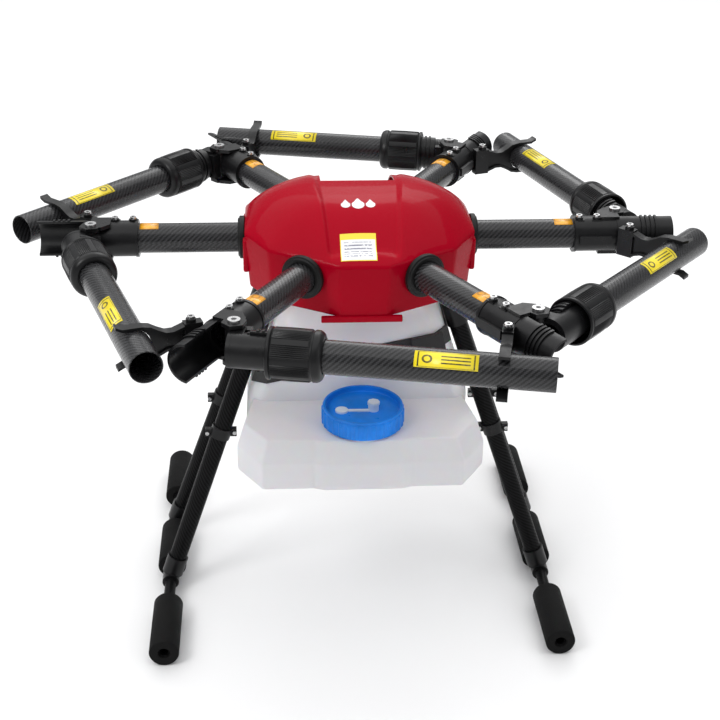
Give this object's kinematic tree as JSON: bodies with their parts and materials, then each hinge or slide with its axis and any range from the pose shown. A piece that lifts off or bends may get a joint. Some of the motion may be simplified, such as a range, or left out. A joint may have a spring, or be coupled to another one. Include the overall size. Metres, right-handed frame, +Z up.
{
  "type": "agricultural spray drone",
  "caption": "Folding agricultural spray drone airframe: ring of hinged carbon arms with lock collars, domed centre body, liquid tank with screw cap, and tube landing gear.",
  "frame": {"origin": "on the ground, centred between the skids under the middle of the body", "axes": "+Z up, -Y towards the front where the tank cap is, +X to the right"},
  "size_m": [0.9436, 0.8652, 0.6044],
  "materials": {
    "carbon_tube": "satin carbon weave",
    "carbon_plate": "matt carbon weave",
    "black_nylon": "moulded satin",
    "steel": "satin",
    "red_shell": "gloss lacquer",
    "aluminium_post": "satin",
    "circuit_board": "satin",
    "black_rubber": "matt",
    "foam": "matt foam",
    "tank_plastic": "translucent satin",
    "blue_plastic": "satin",
    "white_plastic": "satin",
    "black_webbing": "woven"
  },
  "bodies": {
    "frame": {"inner_tube_left": "carbon_tube", "fold_socket_left": "black_nylon", "rest_clip_left": "black_nylon", "inner_tube_front_left": "carbon_tube", "fold_socket_front_left": "black_nylon", "rest_clip_front_left": "black_nylon", "inner_tube_front_right": "carbon_tube", "fold_socket_front_right": "black_nylon", "rest_clip_front_right": "black_nylon", "inner_tube_right": "carbon_tube", "fold_socket_right": "black_nylon", "rest_clip_right": "black_nylon", "inner_tube_back_right": "carbon_tube", "fold_socket_back_right": "black_nylon", "rest_clip_back_right": "black_nylon", "inner_tube_back_left": "carbon_tube", "fold_socket_back_left": "black_nylon", "rest_clip_back_left": "black_nylon", "hinge_pins": "steel", "steel_screws": "steel", "top_cover": "red_shell", "lower_tray": "red_shell", "upper_plate": "carbon_plate", "lower_plate": "carbon_plate", "plate_posts": "aluminium_post", "power_board": "circuit_board", "arm_root_grommets": "black_rubber", "leg_front_left": "carbon_tube", "leg_front_right": "carbon_tube", "leg_back_left": "carbon_tube", "leg_back_right": "carbon_tube", "skid_tube_left": "carbon_tube", "skid_tube_right": "carbon_tube", "leg_root_brackets": "black_nylon", "leg_band_clamps": "black_nylon", "skid_tees": "black_nylon", "skid_sleeves": "foam", "tank_shell": "tank_plastic", "tank_gasket": "black_rubber", "tank_strap": "black_webbing"},
    "cap": {"tank_cap": "blue_plastic", "vent_valve": "white_plastic"},
    "arm_left": {"fold_knuckle_left": "black_nylon", "outer_tube_left": "carbon_tube"},
    "collar_left": {"lock_collar_left": "black_nylon"},
    "arm_front_left": {"fold_knuckle_front_left": "black_nylon", "outer_tube_front_left": "carbon_tube"},
    "collar_front_left": {"lock_collar_front_left": "black_nylon"},
    "arm_front_right": {"fold_knuckle_front_right": "black_nylon", "outer_tube_front_right": "carbon_tube"},
    "collar_front_right": {"lock_collar_front_right": "black_nylon"},
    "arm_right": {"fold_knuckle_right": "black_nylon", "outer_tube_right": "carbon_tube"},
    "collar_right": {"lock_collar_right": "black_nylon"},
    "arm_back_right": {"fold_knuckle_back_right": "black_nylon", "outer_tube_back_right": "carbon_tube"},
    "collar_back_right": {"lock_collar_back_right": "black_nylon"},
    "arm_back_left": {"fold_knuckle_back_left": "black_nylon", "outer_tube_back_left": "carbon_tube"},
    "collar_back_left": {"lock_collar_back_left": "black_nylon"}
  },
  "joints": [
    {"name": "fold_left", "type": "hinge", "parent": "frame", "child": "arm_left", "pos_m": [-0.3561, -0.01936, 0.5245], "axis": [0, 0, -1], "range_deg": [0, 108.2]},
    {"name": "collar_slide_left", "type": "slide", "parent": "arm_left", "child": "collar_left", "axis": [0.3123, -0.95, 0], "range_m": [0, 0.0581]},
    {"name": "fold_front_left", "type": "hinge", "parent": "frame", "child": "arm_front_left", "pos_m": [-0.16128, -0.31807, 0.5245], "axis": [0, 0, -1], "range_deg": [0, 108.2]},
    {"name": "collar_slide_front_left", "type": "slide", "parent": "arm_front_left", "child": "collar_front_left", "axis": [0.9789, -0.2045, 0], "range_m": [0, 0.0581]},
    {"name": "fold_front_right", "type": "hinge", "parent": "frame", "child": "arm_front_right", "pos_m": [0.19482, -0.29871, 0.5245], "axis": [0, 0, -1], "range_deg": [0, 108.2]},
    {"name": "collar_slide_front_right", "type": "slide", "parent": "arm_front_right", "child": "collar_front_right", "axis": [0.6665, 0.7455, 0], "range_m": [0, 0.0581]},
    {"name": "fold_right", "type": "hinge", "parent": "frame", "child": "arm_right", "pos_m": [0.3561, 0.01936, 0.5245], "axis": [0, 0, -1], "range_deg": [0, 108.2]},
    {"name": "collar_slide_right", "type": "slide", "parent": "arm_right", "child": "collar_right", "axis": [-0.3123, 0.95, 0], "range_m": [0, 0.0581]},
    {"name": "fold_back_right", "type": "hinge", "parent": "frame", "child": "arm_back_right", "pos_m": [0.16128, 0.31807, 0.5245], "axis": [0, 0, -1], "range_deg": [0, 108.2]},
    {"name": "collar_slide_back_right", "type": "slide", "parent": "arm_back_right", "child": "collar_back_right", "axis": [-0.9789, 0.2045, 0], "range_m": [0, 0.0581]},
    {"name": "fold_back_left", "type": "hinge", "parent": "frame", "child": "arm_back_left", "pos_m": [-0.19482, 0.29871, 0.5245], "axis": [0, 0, -1], "range_deg": [0, 108.2]},
    {"name": "collar_slide_back_left", "type": "slide", "parent": "arm_back_left", "child": "collar_back_left", "axis": [-0.6665, -0.7455, 0], "range_m": [0, 0.0581]},
    {"name": "cap_turn", "type": "hinge", "parent": "frame", "child": "cap", "pos_m": [0.002, -0.128, 0.315], "axis": [0, 0, 1], "continuous": true}
  ],
  "couplings": [
    {"joint": "collar_slide_left", "follows": "fold_left", "m_per_rad": 0.030713},
    {"joint": "collar_slide_front_left", "follows": "fold_front_left", "m_per_rad": 0.030713},
    {"joint": "collar_slide_front_right", "follows": "fold_front_right", "m_per_rad": 0.030713},
    {"joint": "collar_slide_right", "follows": "fold_right", "m_per_rad": 0.030713},
    {"joint": "collar_slide_back_right", "follows": "fold_back_right", "m_per_rad": 0.030713},
    {"joint": "collar_slide_back_left", "follows": "fold_back_left", "m_per_rad": 0.030713}
  ]
}
